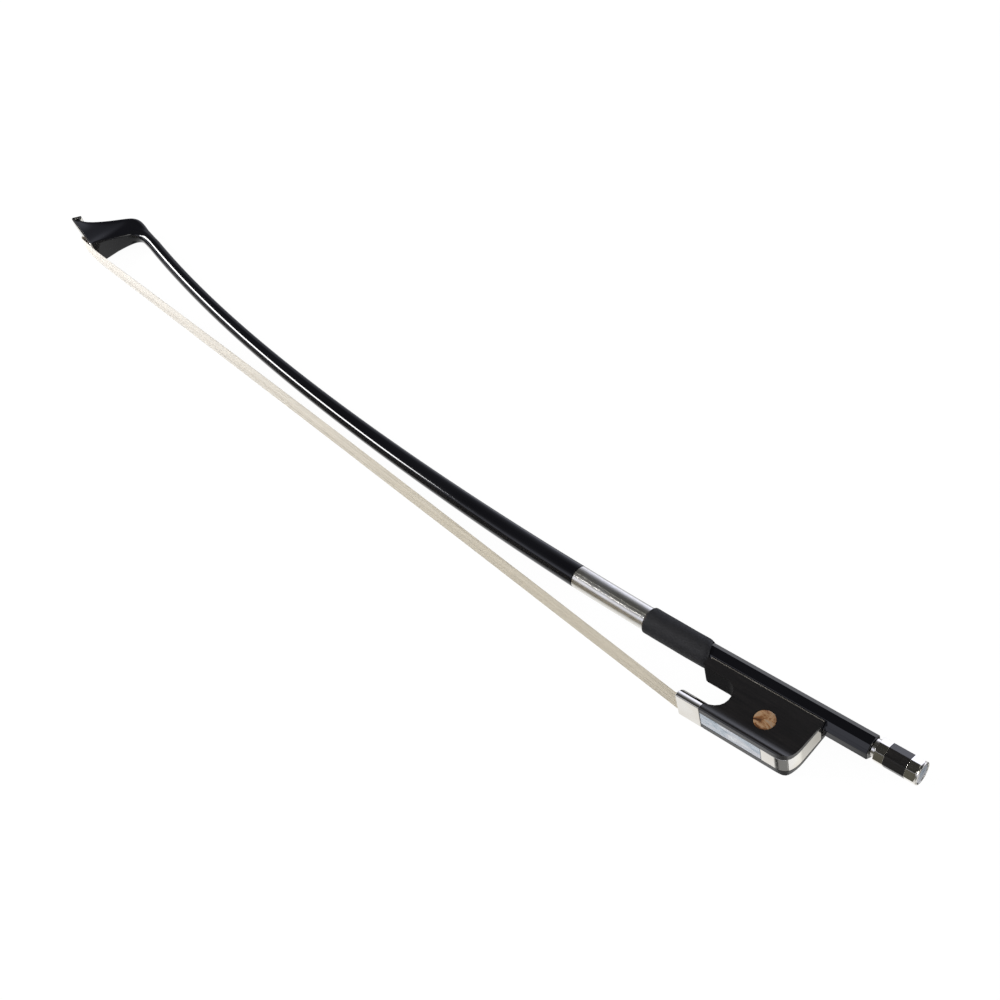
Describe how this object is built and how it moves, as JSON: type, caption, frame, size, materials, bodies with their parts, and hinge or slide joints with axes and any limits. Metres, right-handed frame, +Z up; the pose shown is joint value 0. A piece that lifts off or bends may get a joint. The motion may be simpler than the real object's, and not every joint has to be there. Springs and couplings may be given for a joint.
{
  "type": "double bass bow",
  "caption": "French-model double bass bow with a carbon stick, ebony frog, octagonal screw button and horsehair; turning the button slides the frog.",
  "frame": {"origin": "centre of the bow's outline on the ground, with the bow lying on its side", "axes": "+X along the bow from the head to the button, +Y from the hair to the stick's back, +Z up across the hair's width"},
  "size_m": [0.7246, 0.1088, 0.0181],
  "materials": {
    "carbon": "polished black carbon composite",
    "ebony": "satin oiled ebony",
    "nickel": "polished nickel silver",
    "silver": "polished silver wire",
    "leather": "matt fine-grained black leather",
    "hair": "natural cream horsehair",
    "maple": "bare maple",
    "thread": "bound and waxed thread",
    "pearl": "polished mother of pearl",
    "gold_pearl": "polished gold-brown shell",
    "brass": "turned brass",
    "steel": "turned steel"
  },
  "bodies": {
    "stick": {"stick": "carbon", "head_plate": "nickel", "head_plug": "maple", "head_hair_knot": "thread", "hair_ribbon": "hair", "leather_grip": "leather", "silver_winding": "silver"},
    "frog": {"frog_body": "ebony", "ferrule": "nickel", "hair_wedge": "maple", "frog_plug": "maple", "frog_hair_knot": "thread", "pearl_slide": "pearl", "slide_backing": "ebony", "heel_plate_lower": "nickel", "heel_plate_rear": "nickel", "underslide": "nickel", "underslide_pin_front": "brass", "underslide_pin_rear": "brass", "frog_eye_near": "gold_pearl", "frog_eye_far": "gold_pearl", "eyelet": "brass"},
    "adjuster": {"adjuster_screw": "steel", "button_front_collar": "nickel", "button_core": "ebony", "button_rear_collar": "nickel", "button_pearl": "pearl"}
  },
  "joints": [
    {"name": "screw_turn", "type": "hinge", "parent": "stick", "child": "adjuster", "pos_m": [0.33795, -0.02215, 0.00905], "axis": [-1, 0, 0], "range_deg": [0, 3600]},
    {"name": "frog_slide", "type": "slide", "parent": "stick", "child": "frog", "axis": [1, 0, 0], "range_m": [0, 0.008], "deforming": ["hair_ribbon"]}
  ],
  "couplings": [
    {"joint": "screw_turn", "follows": "frog_slide", "rad_per_m": 7854}
  ]
}
